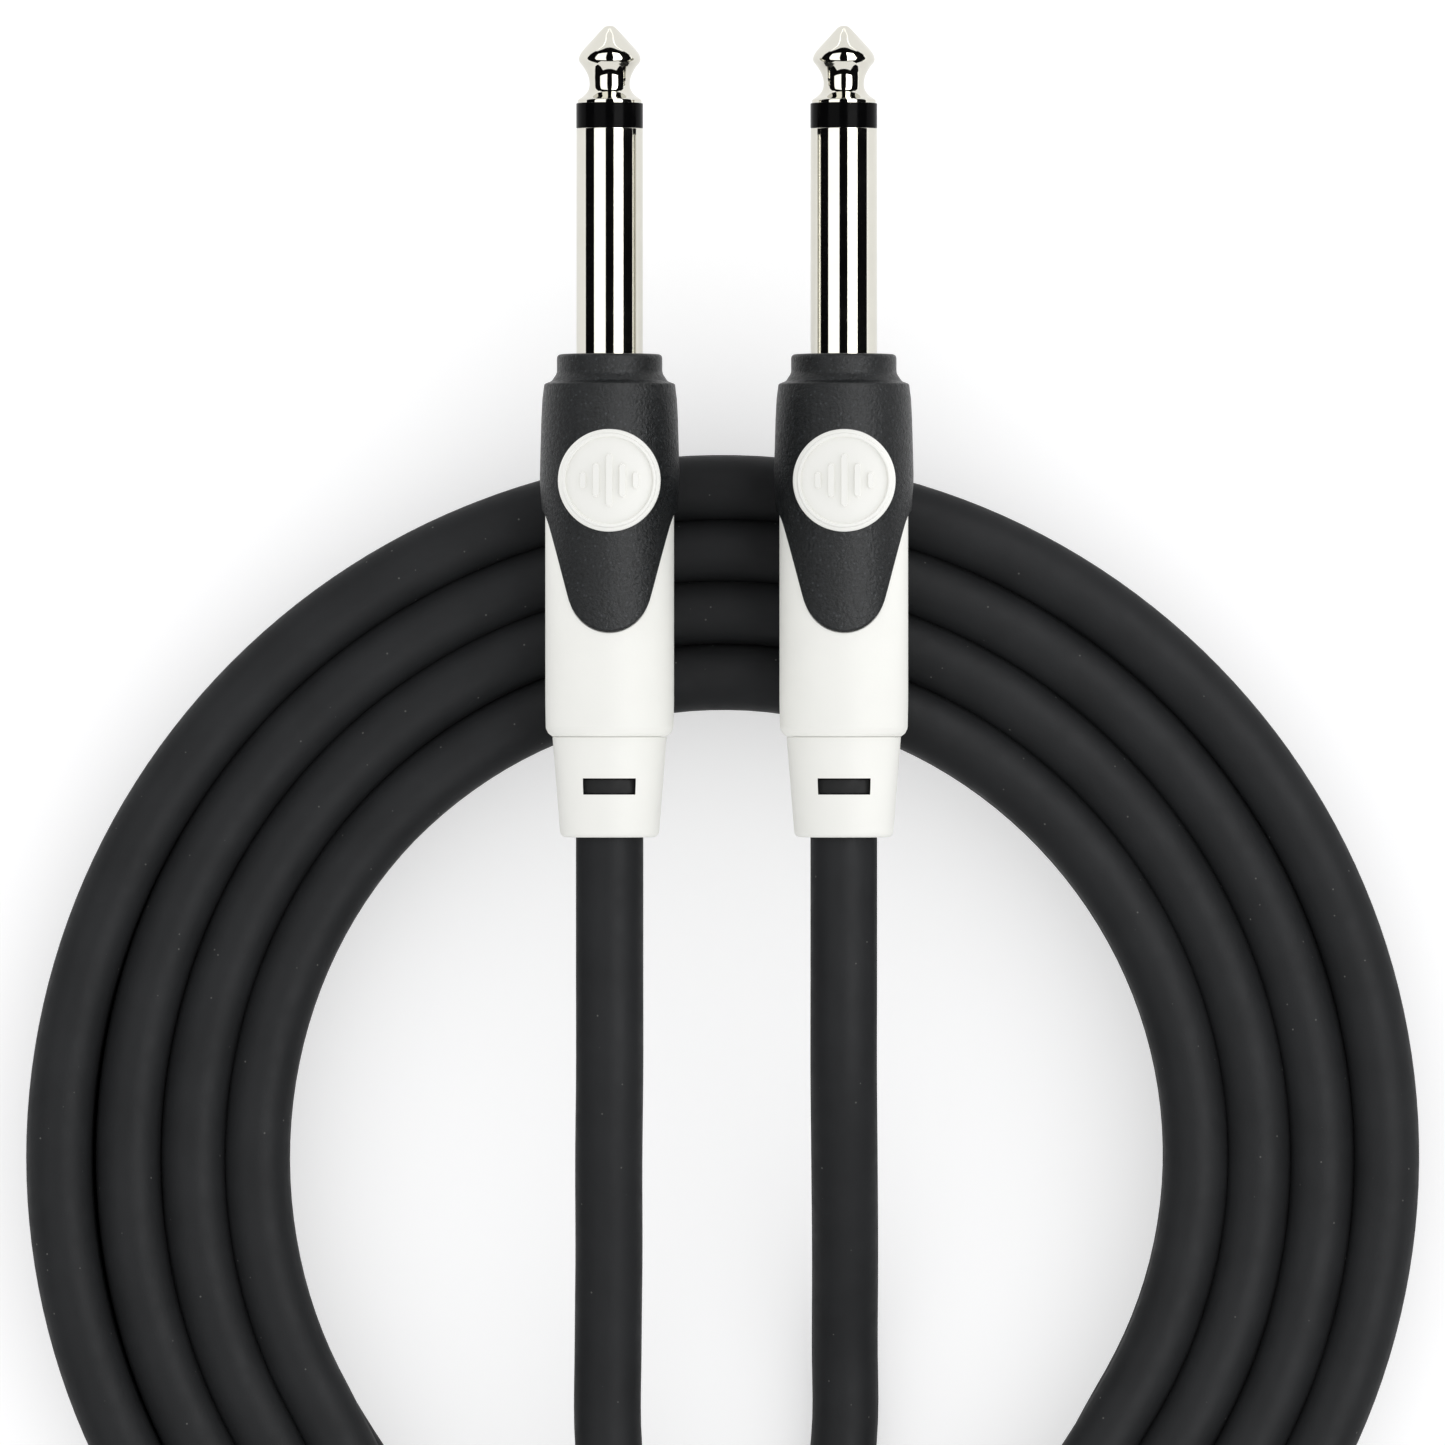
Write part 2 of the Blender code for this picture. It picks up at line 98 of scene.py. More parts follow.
# Routes of the two leads: x, distance ahead of the coil's centre, height of the cord's axis
LEFT_ROUTE = [
    (-11.1, 41.3, 19.8),
    (-11.1, 35.0, 19.8),
    (-11.1, 29.0, 19.8),
    (-11.1, 23.0, 19.8),
    (-11.1, 17.0, 19.8),
    (-11.1, 8.5, 19.3),
    (-11.2, 0.0, 17.4),
    (-11.2, -9.0, 14.8),
    (-11.3, -18.0, 12.2),
    (-11.3, -26.8, 10.7),
    (-10.4, -33.6, 10.1),
    (-7.7, -39.2, 10.0),
    (-3.2, -43.9, 10.0),
    (1.8, -46.8, 9.9),
    (6.8, -48.2, 9.7),
    (10.9, -48.4, 9.7),
]
RIGHT_ROUTE = [
    (11.1, 41.3, 19.8),
    (11.1, 35.0, 19.8),
    (11.1, 29.0, 19.8),
    (11.1, 23.0, 19.8),
    (11.1, 17.0, 19.8),
    (11.1, 8.5, 18.7),
    (11.2, 0.0, 14.8),
    (11.3, -9.0, 9.7),
    (11.3, -18.0, 5.3),
    (11.3, -26.3, 3.5),
    (10.3, -33.0, 3.3),
    (7.5, -38.8, 3.3),
    (2.8, -43.7, 3.3),
    (-2.4, -46.8, 3.3),
    (-7.6, -48.2, 3.3),
    (-11.8, -48.4, 3.3),
]

# Pin
RING_START = 7.38
RING_END = 9.72
RING_R = 3.17
RING_BORE_R = 1.35
ROD_R = 1.2
ROD_END = 41.5
SLEEVE_START = RING_END + 0.03
SHANK_R = 3.175
SLEEVE_BORE_R = 1.95
FLANGE_START = 33.1
FLANGE_END = 34.6
FLANGE_R = 4.5
HUB_R = 3.0
SLEEVE_END = 37.2

# Cap. Behind its widest place it draws in until it is nearly flush with the shell.
CAP_START = 31.15
CAP_MOUTH_R = 3.4
CAP_THROAT_START = 32.8
CAP_THROAT_R = 4.75
CAP_BORE_START = 40.2
CAP_BORE_R = 5.65
CAP_WIDEST_T = 42.6
CAP_WIDEST_R = 6.62
CAP_DRAW_IN = 5.0
CAP_EDGE_R = 0.3
CAP_EDGE_ROOM = 0.32
TONGUE_R = 6.33
TONGUE_TIP_R = 4.03
TONGUE_TIP_CENTRE = 53.47
TONGUE_FLANK_HALF_WIDTH = 3.9
TONGUE_FLANK_END = 54.49
TONGUE_FLARE = 0.262
CAP_VALLEY = 45.9
VALLEY_SOFTNESS = 1.0
SEAM = 0.08

# Housing shell and tail collar
SHELL_START = 40.5
SHELL_END = 67.4
SHELL_R = 6.1
SHELL_UNDER_CAP_R = 5.45
SHELL_BORE_R = 5.0
SPIGOT_START = 62.5
SPIGOT_R = 4.85
COLLAR_START = 67.43
COLLAR_R = 5.42
COLLAR_TAIL_R = 4.66
COLLAR_END = 76.95
COLLAR_BORE_R = 4.1
CORD_HOLE_START = 75.8
CORD_HOLE_R = 3.4

# Window in the collar. Its sides run straight down, so they are further round at the bore.
WINDOW_START = 71.35
WINDOW_END = 72.89
WINDOW_HALF_WIDTH = 2.49
WINDOW_R = 5.05
WINDOW_EDGE = degrees(asin(WINDOW_HALF_WIDTH / WINDOW_R))
WINDOW_BORE_EDGE = degrees(asin(WINDOW_HALF_WIDTH / COLLAR_BORE_R))
WINDOW_COLUMNS = 12
WALL_COLUMNS = 34

# Bush, with a crowned boss behind each window
BUSH_START = 63.5
BUSH_END = 75.5
BUSH_R = 3.9
BUSH_BORE_R = 3.42
BOSS_START = 71.5
BOSS_END = 72.74
BOSS_HEIGHT = 4.3
BOSS_CROWN_R = 4.8
BOSS_REACH = 0.55
BOSS_FOOT = 0.04

# Badge and its marks
BADGE_T = 43.2
BADGE_R = 4.85
BADGE_CREST = 6.88
BADGE_CROWN_R = 11.0
BADGE_FALL = 0.15
BADGE_EDGE = 0.3
BADGE_UNDERSIDE_R = 6.2
BADGE_SINK = 0.4
MARK_HEIGHT = 0.32
MARK_SHOULDER = 0.4 * MARK_HEIGHT
MARK_SLOPE = 0.11
MARK_ROOT = 0.15
MARK_OUTER_R = 4.5
MARK_INNER_R = 4.1
MARK_SIDES = 96
BAR_PITCH = 1.25
BAR_HALF_LENGTHS = (0.8, 1.6, 2.5, 1.6, 0.8)
BAR_HALF_WIDTH = 0.3

# Strap: its line runs half the tie's thickness inside the tie, and its end laps over its start
TIE_THICKNESS = 1.0
STRAP_HALF_WIDTH = 6.0
STRAP_HALF_THICKNESS = 0.46
STRAP_CORNER = 2.6
STRAP_SIDES = 24
STRAP_STEP = 0.8
STRAP_NAP = 0.25

# Camera: straight above the plugs
FRAME_WIDTH = 137.0
CAMERA_DISTANCE = 1500.0
SENSOR = 36.0
CENTRE_X = -0.4
CENTRE_FROM_APEX = 66.07

# Light, in metres. The boxes lie level. Their edges are angles from straight up, at the origin.
LIGHT_HEIGHT = 0.62
DARK_STRIP_EDGE = 14
LEFT_EDGE = 54
RIGHT_EDGE = 46
BACK_EDGE = -38
FRONT_EDGE = 62
LEFT_RADIANCE = 1.75
RIGHT_RADIANCE = 5.5

# Low cards that face the middle at their own height: name, place, width and height
CARDS = (
    ("card_ahead", (0, 0.85, 0.05), (1.0, 0.1)),
    ("card_behind", (0, -0.85, 0.28), (1.0, 0.56)),
    ("card_right", (0.9, 0, 0.04), (1.2, 0.08)),
)
CARD_RADIANCE = 1.12

# The room, and how little of it mirrors show
ROOM_RADIANCE = 1.46
CEILING_RADIANCE = 0.85
SIDE_SHARE = 0.18
ROOM_TINT = (0.97, 0.97, 0.98)
DIM_RADIANCE = 0.004
DIM_TINT = (0.9, 0.9, 1.0)

# Floor, in metres
FLOOR_HALF_WIDTH = 3.0
FLOOR_TONE = 0.72
FLOOR_GLOW = 0.44

# Sides of the turned pieces
FINE = 144
BUSH_SIDES = 240


def ease(share):
    share = min(max(share, 0.0), 1.0)
    return share * share * (3 - 2 * share)


def hump(angle, middle, half):
    """A smooth bump: 1 at the middle angle and 0 from half an angle away, in degrees."""
    away = abs((angle - middle + 180) % 360 - 180)
    return 0.5 + 0.5 * cos(pi * away / half) if away < half else 0.0


def new_object(name, data):
    obj = bpy.data.objects.new(name, data)
    bpy.context.scene.collection.objects.link(obj)
    return obj


def add_object(name, data, material, body=ROOT, location=(0, 0, 0)):
    """A piece of the cable, with its material, that rides on a body."""
    data.name = name
    obj = new_object(name, data)
    obj.location = Vector(location) * MM
    data.materials.append(material)
    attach(obj, body)
    return obj


# Camera


def add_camera():
    data = bpy.data.cameras.new("camera")
    data.sensor_width = SENSOR
    data.lens = SENSOR * CAMERA_DISTANCE / FRAME_WIDTH
    data.clip_start = 0.01
    camera = new_object("camera", data)
    camera.location = Vector((CENTRE_X, APEX_Y - CENTRE_FROM_APEX, PLUG_AXIS_Z + CAMERA_DISTANCE)) * MM
    bpy.context.scene.camera = camera


# Materials


def shader_of(material):
    return material.node_tree.nodes["Principled BSDF"]


def new_material(name, colour, roughness, metallic=0.0):
    """A material of one colour and one roughness, to which textures can be added."""
    material = bpy.data.materials.new(name)
    material.use_nodes = True
    shader = shader_of(material)
    shader.inputs["Base Color"].default_value = (*colour, 1.0)
    shader.inputs["Roughness"].default_value = roughness
    shader.inputs["Metallic"].default_value = metallic
    return material


def add_node(owner, kind, **inputs):
    """A new node of a material or of the world."""
    node = owner.node_tree.nodes.new(kind)
    for name, value in inputs.items():
        node.inputs[name.replace("_", " ")].default_value = value
    return node


def link(owner, source, target):
    owner.node_tree.links.new(source, target)


def place_of(material):
    """The surface's own coordinates, in metres."""
    return add_node(material, "ShaderNodeTexCoord").outputs["Object"]


def add_noise(material, scale, detail=3.0, roughness=0.5):
    noise = add_node(material, "ShaderNodeTexNoise", Scale=scale, Detail=detail, Roughness=roughness)
    link(material, place_of(material), noise.inputs["Vector"])
    return noise.outputs["Fac"]


def remap(material, value, low, high, to_low, to_high):
    node = add_node(
        material, "ShaderNodeMapRange", From_Min=low, From_Max=high, To_Min=to_low, To_Max=to_high
    )
    link(material, value, node.inputs["Value"])
    return node.outputs["Result"]


def mix_colours(material, factor, low, high):
    """A colour between two, each of them a colour or another node's output."""
    node = add_node(material, "ShaderNodeMix")
    node.data_type = "RGBA"
    link(material, factor, node.inputs[0])
    for socket, value in ((node.inputs[6], low), (node.inputs[7], high)):
        if isinstance(value, tuple):
            socket.default_value = (*value, 1.0)
        else:
            link(material, value, socket)
    return node.outputs[2]


def add_bump(material, height, strength, depth, under=None):
    """Bump of a depth in millimetres, on top of another bump where one is given."""
    node = add_node(material, "ShaderNodeBump", Strength=strength, Distance=depth * MM)
    link(material, height, node.inputs["Height"])
    if under is not None:
        link(material, under, node.inputs["Normal"])
    return node.outputs["Normal"]


def set_colour(material, value):
    link(material, value, shader_of(material).inputs["Base Color"])


def set_roughness(material, value):
    link(material, value, shader_of(material).inputs["Roughness"])


def set_normal(material, value):
    link(material, value, shader_of(material).inputs["Normal"])


def set_specular(material, level):
    shader_of(material).inputs["Specular IOR Level"].default_value = level


def jacket_material():
    """Matt flexible PVC: faint mottling, a fine skin and a few pale dust specks."""
    material = new_material("jacket", (0.0184, 0.0192, 0.0204), 0.5)
    mottle = remap(material, add_noise(material, 160, 4), 0.3, 0.7, 0.0, 1.0)
    colour = mix_colours(material, mottle, (0.0165, 0.0172, 0.0182), (0.0204, 0.0213, 0.0226))
    specks = add_node(material, "ShaderNodeTexVoronoi", Scale=520.0)
    link(material, place_of(material), specks.inputs["Vector"])
    dust = remap(material, specks.outputs["Distance"], 0.055, 0.03, 0.0, 0.6)
    colour = mix_colours(material, dust, colour, (0.16, 0.16, 0.15))
    set_colour(material, colour)
    set_roughness(material, remap(material, add_noise(material, 600, 3), 0.3, 0.7, 0.48, 0.6))
    skin = add_bump(material, add_noise(material, 5200, 3), 0.3, 0.03)
    set_normal(material, add_bump(material, add_noise(material, 700, 2), 0.25, 0.12, skin))
    set_specular(material, 0.08)
    return material


def soft_touch_material():
    """Rubbery moulded plastic with a fine spark-eroded grain, and painted glints: pale specks in its
    colour.
    """
    material = new_material("soft_touch", (0.019, 0.0202, 0.0208), 0.5)
    tone = remap(material, add_noise(material, 4200, 2, 0.6), 0.32, 0.68, 0.0, 1.0)
    colour = mix_colours(material, tone, (0.0018, 0.0024, 0.0029), (0.0100, 0.0122, 0.0136))
    # Painted highlight: pale specks painted into the colour stand in for light glinting off the grain.
    specks = add_node(material, "ShaderNodeTexVoronoi", Scale=1700.0)
    link(material, place_of(material), specks.inputs["Vector"])
    painted_glints = remap(material, specks.outputs["Distance"], 0.22, 0.1, 0.0, 0.5)
    set_colour(material, mix_colours(material, painted_glints, colour, (0.055, 0.062, 0.067)))
    set_roughness(material, remap(material, add_noise(material, 2600, 4), 0.35, 0.65, 0.3, 0.44))
    grain = add_bump(material, add_noise(material, 3000, 5, 0.62), 1.0, 0.11)
    set_normal(material, add_bump(material, add_noise(material, 2400, 3), 0.6, 0.07, grain))
    set_specular(material, 0.3)
    return material


def white_material(name="white_plastic", colour=(0.89, 0.89, 0.846)):
    """Satin white ABS: nearly even, with the faint flow of a moulded part."""
    material = new_material(name, colour, 0.5)
    flow = remap(material, add_noise(material, 130, 3), 0.3, 0.7, 0.0, 1.0)
    darker = tuple(0.965 * c for c in colour)
    set_colour(material, mix_colours(material, flow, darker, colour))
    set_roughness(material, remap(material, add_noise(material, 1500, 3), 0.3, 0.7, 0.46, 0.58))
    set_normal(material, add_bump(material, add_noise(material, 2600, 3), 0.25, 0.03))
    set_specular(material, 0.09)
    return material


def nickel_material():
    """Polished nickel plate with faint turning marks round the axis and hairline wear."""
    material = new_material("nickel", (0.65, 0.635, 0.57), 0.1, 1.0)
    spread = add_node(material, "ShaderNodeMapping")
    spread.inputs["Scale"].default_value = (60, 9000, 60)
    link(material, place_of(material), spread.inputs["Vector"])
    marks = add_node(material, "ShaderNodeTexNoise", Scale=1.0, Detail=3.0)
    link(material, spread.outputs["Vector"], marks.inputs["Vector"])
    wear = add_noise(material, 380, 4)
    set_colour(material, mix_colours(material, wear, (0.62, 0.605, 0.54), (0.68, 0.665, 0.60)))
    set_roughness(material, remap(material, wear, 0.35, 0.75, 0.03, 0.075))
    set_normal(material, add_bump(material, marks.outputs["Fac"], 0.03, 0.008))
    return material


def gloss_black_material():
    """Smooth black plastic that mirrors the light only faintly."""
    material = new_material("gloss_insulator", (0.0018, 0.0018, 0.002), 0.14)
    set_roughness(material, remap(material, add_noise(material, 1200, 3), 0.3, 0.7, 0.1, 0.22))
    set_normal(material, add_bump(material, add_noise(material, 900, 2), 0.12, 0.03))
    set_specular(material, 0.03)
    return material


def bush_material():
    """Matt black rubber."""
    material = new_material("bush_rubber", (0.0142, 0.0147, 0.0153), 0.6)
    set_roughness(material, remap(material, add_noise(material, 1500, 3), 0.3, 0.7, 0.5, 0.7))
    set_normal(material, add_bump(material, add_noise(material, 3000, 3), 0.4, 0.05))
    set_specular(material, 0.14)
    return material


def natural_plastic_material():
    """Uncoloured nylon, a little uneven in tone."""
    material = new_material("natural_plastic", (0.72, 0.70, 0.62), 0.38)
    tone = add_noise(material, 300, 2)
    set_colour(material, mix_colours(material, tone, (0.66, 0.64, 0.55), (0.77, 0.75, 0.68)))
    set_normal(material, add_bump(material, add_noise(material, 1400, 2), 0.2, 0.04))
    return material


def tinned_steel_material():
    """Dull tin plate with a cloudy sheen."""
    material = new_material("tinned_steel", (0.60, 0.59, 0.56), 0.3, 1.0)
    tone = add_noise(material, 700, 5)
    set_colour(material, mix_colours(material, tone, (0.50, 0.49, 0.46), (0.68, 0.67, 0.65)))
    set_roughness(material, remap(material, tone, 0.3, 0.7, 0.24, 0.42))
    set_normal(material, add_bump(material, add_noise(material, 2200, 3), 0.2, 0.03))
    return material


def copper_material():
    """Twisted bare strands: a wave that runs slantwise round the wire."""
    material = new_material("copper_strands", (0.72, 0.38, 0.22), 0.32, 1.0)
    wave = add_node(material, "ShaderNodeTexWave", Scale=520.0, Distortion=0.6)
    wave.bands_direction = "DIAGONAL"
    link(material, place_of(material), wave.inputs["Vector"])
    strands = wave.outputs["Fac"]
    set_colour(material, mix_colours(material, strands, (0.42, 0.19, 0.10), (0.78, 0.43, 0.26)))
    set_normal(material, add_bump(material, strands, 0.7, 0.12))
    return material


def strap_material():
    """Hook-and-loop webbing with a short pile.

    The weft crosses the strap, so its bands are counted along Y on the flat runs and along Z on the
    upright ones.
    """
    material = new_material("strap_webbing", (0.017, 0.018, 0.019), 0.88)
    weft = add_node(material, "ShaderNodeMath")
    for k, axis in enumerate(("Y", "Z")):
        bands = add_node(material, "ShaderNodeTexWave", Scale=310.0, Distortion=1.4, Detail=2.0)
        bands.bands_direction = axis
        link(material, place_of(material), bands.inputs["Vector"])
        link(material, bands.outputs["Fac"], weft.inputs[k])
    fuzz = add_noise(material, 3300, 5, 0.65)
    set_colour(material, mix_colours(material, fuzz, (0.006, 0.0064, 0.0068), (0.022, 0.023, 0.0243)))
    rows = add_bump(material, weft.outputs[0], 0.45, 0.16)
    set_normal(material, add_bump(material, fuzz, 0.9, STRAP_NAP, rows))
    shader = shader_of(material)
    shader.inputs["Sheen Weight"].default_value = 0.12
    shader.inputs["Sheen Roughness"].default_value = 0.5
    return material


# Cord


def coil_point(angle):
    """The cord's centre after it has turned through this angle round the coil."""
    place = angle % 360
    slot = sum(ease((angle - start) / SHIFT_SPAN) for start in OUTWARD_SHIFTS)
    slot -= sum(ease((angle - start) / SHIFT_SPAN) for start in INWARD_SHIFTS)
    down = ease((angle - ROLL_START) / SHIFT_SPAN)
    under = ease((angle - ROLL_START - SHIFT_SPAN) / SHIFT_SPAN)
    roll = radians(ROLL_ANGLE * (down - under))
    on_top = angle < ROLL_START + SHIFT_SPAN
    z = CORD_R + CORD_D * cos(roll) if on_top else CORD_R + CORD_D * (1 - cos(roll))
    bulge = BOTTOM_BULGE * hump(place, 270, BULGE_HALF_ANGLE)
    bulge += TOP_BULGE * max(0.0, sin(radians(place))) ** 4
    r = INNER_SLOT + PITCH * slot + CORD_D * sin(roll) + bulge
    if on_top:
        r -= LEFT_GAP * hump(place, 180, LEFT_GAP_HALF_ANGLE) * min(1.0, max(0.0, 3 - slot))
    r += sum(size * sin(radians(cycles * angle + start)) for size, cycles, start in DRIFTS)
    z += TIE_LIFT * min(1.0, TIE_STEEPNESS * hump(place, 270, TIE_HALF_ANGLE))
    return Vector((COIL_X + r * cos(radians(place)), COIL_Y + r * sin(radians(place)), z))


def smooth_points(knots, step):
    """Points about a step apart on a smooth curve through the knots."""
    samples = 9
    knots = [2 * knots[0] - knots[1], *knots, 2 * knots[-1] - knots[-2]]
    fine = []
    for i in range(1, len(knots) - 2):
        before, start, end, after = knots[i - 1 : i + 3]
        reach = (end - start).length / 3
        lead_in = start + (end - before).normalized() * reach
        lead_out = end - (after - start).normalized() * reach
        fine += geometry.interpolate_bezier(start, lead_in, lead_out, end, samples)[:-1]
    fine.append(knots[-2])
    lengths = [0.0]
    for a, b in zip(fine, fine[1:]):
        lengths.append(lengths[-1] + (b - a).length)
    count = round(lengths[-1] / step)
    points = []
    at = 0
    for k in range(count + 1):
        target = lengths[-1] * k / count
        while at < len(fine) - 2 and lengths[at + 1] < target:
            at += 1
        share = (target - lengths[at]) / (lengths[at + 1] - lengths[at])
        points.append(fine[at].lerp(fine[at + 1], share))
    return points


def route_knots(route):
    """A lead's knots. The first is moved to where the cord enters the plug's crimp."""
    knots = [Vector((x, COIL_Y + y, z)) for x, y, z in route]
    knots[0].y = APEX_Y - CORD_SPLIT - CLEARANCE
    return knots


def add_cord(material):
    turns = range(COIL_ENTRY, COIL_EXIT + 1, TURN_STEP)
    knots = route_knots(LEFT_ROUTE)
    knots += [coil_point(angle) for angle in turns]
    knots += reversed(route_knots(RIGHT_ROUTE))
    points = smooth_points(knots, CORD_STEP)
    curve = bpy.data.curves.new("cord", "CURVE")
    curve.dimensions = "3D"
    curve.bevel_depth = CORD_R * MM
    curve.bevel_resolution = 8
    curve.use_fill_caps = True
    spline = curve.splines.new("POLY")
    spline.points.add(len(points) - 1)
    for spot, point in zip(spline.points, points):
        spot.co = (*(point * MM), 1.0)
    cord = add_object("cord", curve, material)
    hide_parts("coil", "lead_left", "lead_right")


# Turned pieces


def on_plug(t, r, phase):
    return Vector((r * sin(radians(phase)), -t, r * cos(radians(phase)))) * MM


def rounded(corners, steps=6):
    """An outline with its corners rounded. A corner is (t, r) or (t, r, radius).

    A corner takes less than half of each side. A point just before it and one just after it keep the
    shading of the sides flat.
    """
    most = 0.48
    hold = 0.08
    outline = []
    last = len(corners) - 1
    for k, corner in enumerate(corners):
        here = Vector(corner[:2])
        if len(corner) < 3 or k in (0, last):
            outline.append(tuple(corner[:2]))
            continue
        back = Vector(corners[k - 1][:2]) - here
        ahead = Vector(corners[k + 1][:2]) - here
        opening = back.angle(ahead)
        reach = min(corner[2] / tan(opening / 2), most * back.length, most * ahead.length)
        start = here + back.normalized() * reach
        end = here + ahead.normalized() * reach
        outline.append(tuple(start + back.normalized() * reach * hold))
        for i in range(steps + 1):
            share = i / steps
            a = start.lerp(here, share)
            b = here.lerp(end, share)
            outline.append(tuple(a.lerp(b, share)))
        outline.append(tuple(end + ahead.normalized() * reach * hold))
    return outline


def turn_outline(outline, phases, open_cells=()):
    """Turn an outline into a shape, and give its rows of vertices too.

    outline(phase) is a list of (t, r) pairs, in order round the section. open_cells are the (row,
    phase number) of faces that are left out for a window.
    """
    outlines = [outline(phase) for phase in phases]
    count = len(outlines[0])
    solid = outlines[0][0][1] == 0
    sides = len(phases)
    shape = bmesh.new()
    rows = []
    for k in range(count):
        if solid and k in (0, count - 1):
            rows.append([shape.verts.new(on_plug(*outlines[0][k], 0))] * sides)
        else:
            spots = [on_plug(*line[k], phase) for line, phase in zip(outlines, phases)]
            rows.append([shape.verts.new(spot) for spot in spots])
    strips = count - 1 if solid else count
    for k in range(strips):
        low, high = rows[k], rows[(k + 1) % count]
        for i in range(sides):
            if (k, i) in open_cells:
                continue
            j = (i + 1) % sides
            corners = list(dict.fromkeys((low[i], low[j], high[j], high[i])))
            shape.faces.new(corners)
    return shape, rows


def finish_mesh(shape, sharp=40):
    """A smooth mesh of the shape, with hard edges where its faces meet at more than an angle."""
    bmesh.ops.recalc_face_normals(shape, faces=shape.faces)
    mesh = bpy.data.meshes.new("piece")
    shape.to_mesh(mesh)
    shape.free()
    mesh.shade_smooth()
    mesh.set_sharp_from_angle(angle=radians(sharp))
    return mesh


def even_phases(count):
    return [360 * i / count for i in range(count)]


def turned_mesh(outline, sharp=40, sides=FINE):
    """A mesh turned from an outline, which is a list or a function of the phase."""
    at_phase = outline if callable(outline) else lambda phase: outline
    shape, _ = turn_outline(at_phase, even_phases(sides))
    return finish_mesh(shape, sharp)


def tip_outline():
    """The tip's profile: a dimpled cone, a round shoulder, a waist and a flange, then the rod."""
    step = 0.11
    knots = [(0.0, 0.16), (0.1, 0.46), (0.5, 0.88), (1.2, 1.53), (1.9, 2.18), (2.25, 2.49)]
    knots += [(2.55, 2.72), (2.85, 2.88), (3.2, 2.96), (3.5, 2.86), (3.9, 2.54), (4.4, 2.23)]
    knots += [(4.9, 2.02), (5.5, 1.93), (6.0, 2.0), (6.35, 2.2), (6.65, 2.5), (6.9, 2.85), (7.0, 2.98)]
    curve = smooth_points([Vector((t, r, 0)) for t, r in knots], step)
    dimple = [(0.14, 0.0), (0.1, 0.09)]
    flange = [(7.06, 3.04), (7.14, 3.06), (7.36, 3.06)]
    rod = [(7.36, ROD_R), (ROD_END, ROD_R), (ROD_END, 0.0)]
    return dimple + [(point.x, point.y) for point in curve] + flange + rod


def ring_outline():
    front = [(RING_START, RING_BORE_R), (RING_START, RING_R, 0.05)]
    return rounded(front + [(RING_END, RING_R, 0.05), (RING_END, RING_BORE_R)])


def sleeve_outline():
    """The shank, then the flange in front of the cap's throat and the hub behind it."""
    shank = [(SLEEVE_START, SLEEVE_BORE_R), (SLEEVE_START, SHANK_R, 0.08), (FLANGE_START, SHANK_R)]
    flange = [(FLANGE_START, FLANGE_R, 0.1), (FLANGE_END, FLANGE_R, 0.1), (FLANGE_END, HUB_R)]
    hub = [(SLEEVE_END, HUB_R, 0.1), (SLEEVE_END, SLEEVE_BORE_R)]
    return rounded(shank + flange + hub)


def tongue_end(phase):
    """How far back the cap reaches: long tongues above and below, valleys at the sides."""
    half_width = TONGUE_R * abs(sin(radians(phase)))
    if half_width < TONGUE_FLANK_HALF_WIDTH:
        return TONGUE_TIP_CENTRE + sqrt(TONGUE_TIP_R**2 - half_width**2)
    flank = TONGUE_FLANK_END - (half_width - TONGUE_FLANK_HALF_WIDTH) / TONGUE_FLARE
    return (flank + CAP_VALLEY + sqrt((flank - CAP_VALLEY) ** 2 + VALLEY_SOFTNESS)) / 2


def cap_skirt_r(t):
    return TONGUE_R + (CAP_WIDEST_R - TONGUE_R) * (1 - ease((t - CAP_WIDEST_T) / CAP_DRAW_IN))


def cap_outline(phase):
    """The cap: a stepped nose, a swelling front, and a skirt that ends in the tongues."""
    end = tongue_end(phase)
    nose = [(CAP_START, CAP_MOUTH_R), (CAP_START, 5.0, 0.45), (32.95, 5.0, 0.9), (33.7, 5.5, 0.5)]
    swell = [(33.98, 6.2, 0.22), (35.4, 6.38, 1.5), (37.3, 6.48, 2.0), (40.5, 6.57, 2.0)]
    front = rounded(nose + swell + [(CAP_WIDEST_T, CAP_WIDEST_R)])
    steps = 24
    skirt_length = end - CAP_EDGE_ROOM - CAP_WIDEST_T
    stations = [CAP_WIDEST_T + skirt_length * k / steps for k in range(1, steps)]
    skirt = [(t, cap_skirt_r(t)) for t in stations]
    edge = rounded([skirt[-1], (end, cap_skirt_r(end), CAP_EDGE_R), (end, CAP_BORE_R)], 5)[1:]
    bore = [(CAP_BORE_START, CAP_BORE_R), (CAP_BORE_START, CAP_THROAT_R)]
    throat = [(CAP_THROAT_START, CAP_THROAT_R), (CAP_THROAT_START, CAP_MOUTH_R)]
    return front + skirt + edge + bore + throat


def shell_outline(phase):
    """The housing shell: narrow under the cap, then a step that follows the cap's edge."""
    step = tongue_end(phase) + SEAM
    front = [(SHELL_START, SHELL_BORE_R), (SHELL_START, SHELL_UNDER_CAP_R)]
    wall = [(step, SHELL_UNDER_CAP_R), (step, SHELL_R, 0.14), (64.0, SHELL_R)]
    rear = [(66.6, SHELL_R - 0.04, 0.9), (67.1, 5.82, 0.4), (SHELL_END, COLLAR_R)]
    return rounded(front + wall + rear + [(SHELL_END, SHELL_BORE_R)])


